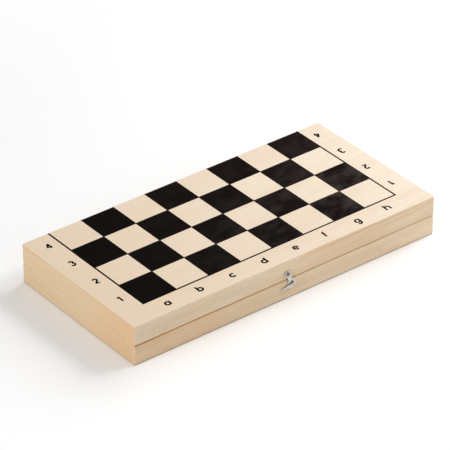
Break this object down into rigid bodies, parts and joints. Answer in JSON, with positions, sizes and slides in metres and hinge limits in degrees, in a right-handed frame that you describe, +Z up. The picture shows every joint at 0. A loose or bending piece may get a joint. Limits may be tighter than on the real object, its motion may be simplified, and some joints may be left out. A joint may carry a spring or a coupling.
{
  "type": "folding chess set",
  "caption": "Hinged wooden chess box whose outer faces are the board, closed with a small metal hook, the men laid inside.",
  "frame": {"origin": "bottom centre of the closed case", "axes": "+X along the files from a to h, +Y back to the hinges, +Z up"},
  "size_m": [0.29, 0.1463, 0.034],
  "materials": {
    "face_beech": "clear satin lacquer on pale beech",
    "rail_beech": "clear satin lacquer on beech",
    "black_stain": "black stain under lacquer",
    "hinge_nickel": "nickel plated",
    "latch_nickel": "nickel plated, worn bright",
    "pale_men": "clear gloss lacquer on pale wood",
    "dark_men": "dark brown stain under gloss lacquer"
  },
  "bodies": {
    "lower_half": {"lower_panel": "face_beech", "lower_squares": "black_stain", "lower_front_rail": "rail_beech", "lower_rear_rail": "rail_beech", "lower_left_rail": "rail_beech", "lower_right_rail": "rail_beech", "left_hinge_lower_leaf": "hinge_nickel", "right_hinge_lower_leaf": "hinge_nickel", "left_hinge_pin": "hinge_nickel", "right_hinge_pin": "hinge_nickel", "lower_hinge_nails": "hinge_nickel", "latch_catch_nail": "latch_nickel", "white_king": "pale_men", "white_knight_1": "pale_men", "white_queen": "pale_men", "white_bishop_1": "pale_men", "white_bishop_2": "pale_men", "white_knight_2": "pale_men", "white_rook_1": "pale_men", "white_rook_2": "pale_men", "white_pawn_1": "pale_men", "white_pawn_2": "pale_men", "white_pawn_3": "pale_men", "white_pawn_4": "pale_men", "white_pawn_5": "pale_men", "white_pawn_6": "pale_men", "white_pawn_7": "pale_men", "white_pawn_8": "pale_men", "black_king": "dark_men", "black_knight_1": "dark_men", "black_queen": "dark_men", "black_bishop_1": "dark_men", "black_bishop_2": "dark_men", "black_knight_2": "dark_men", "black_rook_1": "dark_men", "black_rook_2": "dark_men", "black_pawn_1": "dark_men", "black_pawn_2": "dark_men", "black_pawn_3": "dark_men", "black_pawn_4": "dark_men", "black_pawn_5": "dark_men", "black_pawn_6": "dark_men", "black_pawn_7": "dark_men", "black_pawn_8": "dark_men"},
    "upper_half": {"upper_panel": "face_beech", "upper_squares": "black_stain", "upper_front_rail": "rail_beech", "upper_rear_rail": "rail_beech", "upper_left_rail": "rail_beech", "upper_right_rail": "rail_beech", "left_hinge_upper_leaf": "hinge_nickel", "right_hinge_upper_leaf": "hinge_nickel", "upper_hinge_nails": "hinge_nickel", "latch_pivot_nail": "latch_nickel"},
    "hook": {"latch_hook": "latch_nickel"}
  },
  "joints": [
    {"name": "lid_hinge", "type": "hinge", "parent": "lower_half", "child": "upper_half", "pos_m": [0, 0.0713, 0.017], "axis": [-1, 0, 0], "range_deg": [0, 180]},
    {"name": "hook_swing", "type": "hinge", "parent": "upper_half", "child": "hook", "pos_m": [-0.0017, -0.072, 0.0228], "axis": [0, -1, 0], "range_deg": [0, 110]}
  ]
}
